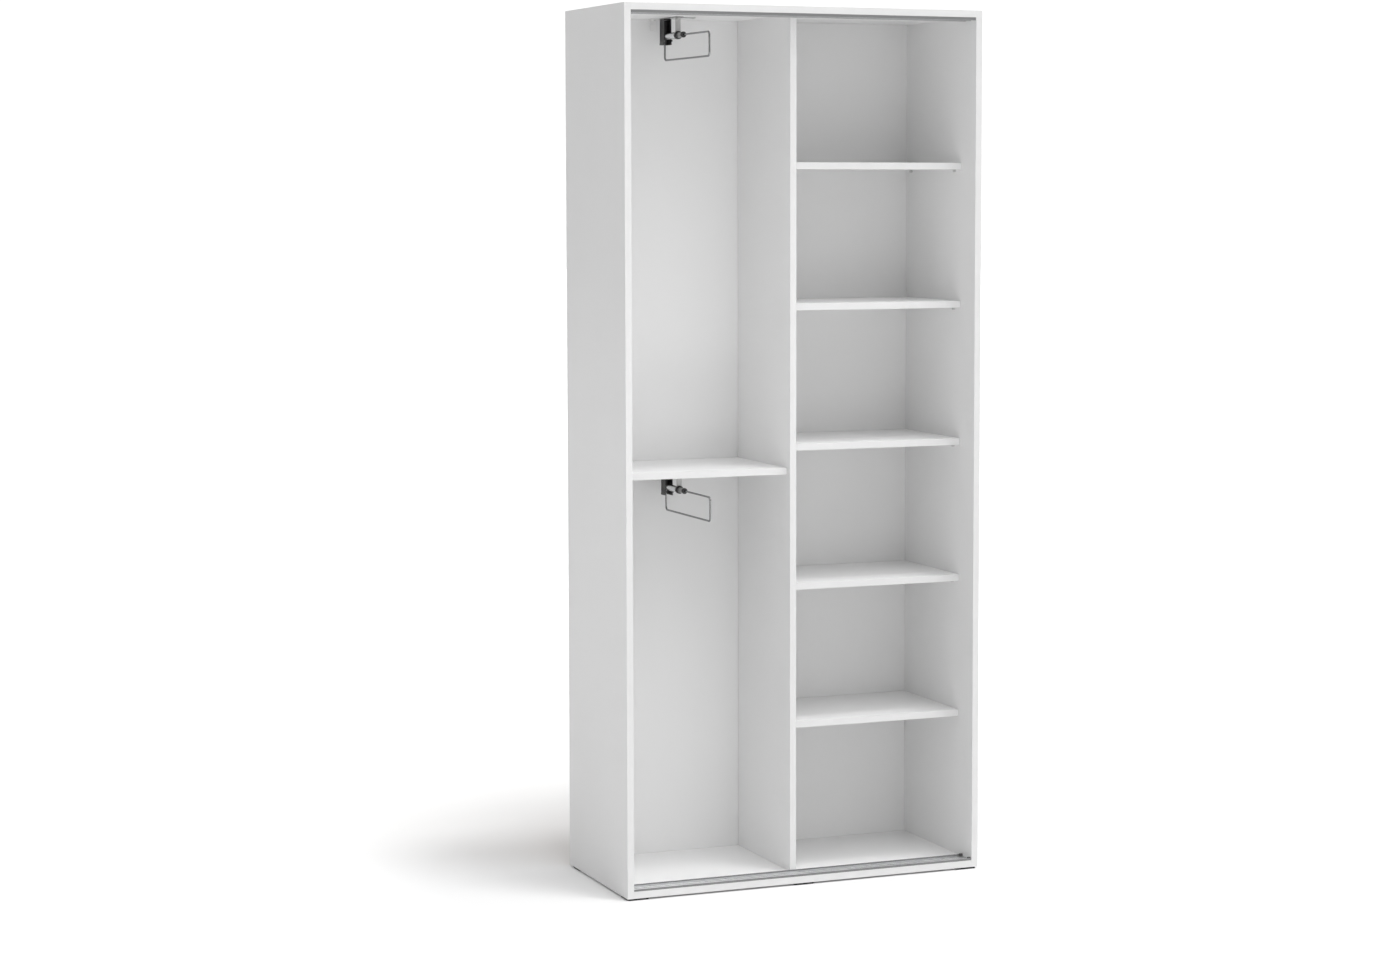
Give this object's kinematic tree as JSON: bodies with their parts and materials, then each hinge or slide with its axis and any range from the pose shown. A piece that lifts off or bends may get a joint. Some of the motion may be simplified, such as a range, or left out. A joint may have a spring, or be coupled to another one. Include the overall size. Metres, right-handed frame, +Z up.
{
  "type": "open sliding-door wardrobe carcass",
  "caption": "Tall white sliding-door wardrobe without its doors: a hanging side with pull-out wire rails, a side with loose shelves, aluminium door tracks and low black feet.",
  "frame": {"origin": "on the floor under the middle of the carcass", "axes": "+X to the right seen from the front, +Y from the open front to the back, +Z up"},
  "size_m": [1, 0.45, 2.284],
  "materials": {
    "melamine": "white melamine-faced chipboard, fine matt grain",
    "edging": "white plastic edging, satin",
    "hardboard": "white lacquered hardboard",
    "white_plastic": "white extruded plastic",
    "anodised": "satin anodised",
    "foot_plastic": "matt black moulded plastic",
    "stop_rubber": "matt black rubber",
    "beech": "bare fluted beech",
    "zinc": "cast zinc",
    "chrome": "bright plated",
    "black_plastic": "black moulded nylon",
    "plated_steel": "zinc plated sheet",
    "screw_steel": "zinc plated"
  },
  "bodies": {
    "carcass": {"left_side": "melamine", "right_side": "melamine", "top_panel": "melamine", "bottom_panel": "melamine", "divider": "melamine", "back_left": "hardboard", "back_right": "hardboard", "back_joint_strip": "white_plastic", "left_shelf": "melamine", "right_shelf_1": "melamine", "right_shelf_2": "melamine", "right_shelf_3": "melamine", "right_shelf_4": "melamine", "right_shelf_5": "melamine", "side_edging": "edging", "top_edging": "edging", "bottom_edging": "edging", "divider_edging": "edging", "shelf_edging": "edging", "top_track_base": "anodised", "top_track_lips": "anodised", "bottom_track_base": "anodised", "bottom_track_lips": "anodised", "door_stops": "stop_rubber", "foot_front_left": "foot_plastic", "foot_front_middle": "foot_plastic", "foot_front_right": "foot_plastic", "foot_rear_left": "foot_plastic", "foot_rear_middle": "foot_plastic", "foot_rear_right": "foot_plastic", "cam_housings": "zinc", "cam_bolts": "screw_steel", "dowels": "beech", "confirmat_screws": "screw_steel", "shelf_pins": "screw_steel", "track_screws": "screw_steel", "foot_screws": "screw_steel", "rail_screws": "screw_steel", "upper_rail_plate": "plated_steel", "upper_rail_housing": "black_plastic", "upper_rail_bracket": "plated_steel", "upper_rail_tube": "chrome", "upper_rail_collar": "black_plastic", "upper_rail_strap": "plated_steel", "upper_rail_bush": "plated_steel", "upper_rail_cap": "black_plastic", "lower_rail_plate": "plated_steel", "lower_rail_housing": "black_plastic", "lower_rail_bracket": "plated_steel", "lower_rail_tube": "chrome", "lower_rail_collar": "black_plastic", "lower_rail_strap": "plated_steel", "lower_rail_bush": "plated_steel", "lower_rail_cap": "black_plastic"},
    "upper_loop": {"upper_wire_loop": "chrome", "upper_rail_slider": "black_plastic"},
    "lower_loop": {"lower_wire_loop": "chrome", "lower_rail_slider": "black_plastic"}
  },
  "joints": [
    {"name": "upper_loop_pull", "type": "slide", "parent": "carcass", "child": "upper_loop", "axis": [0, -1, 0], "range_m": [0, 0.088]},
    {"name": "lower_loop_pull", "type": "slide", "parent": "carcass", "child": "lower_loop", "axis": [0, -1, 0], "range_m": [0, 0.088]}
  ]
}
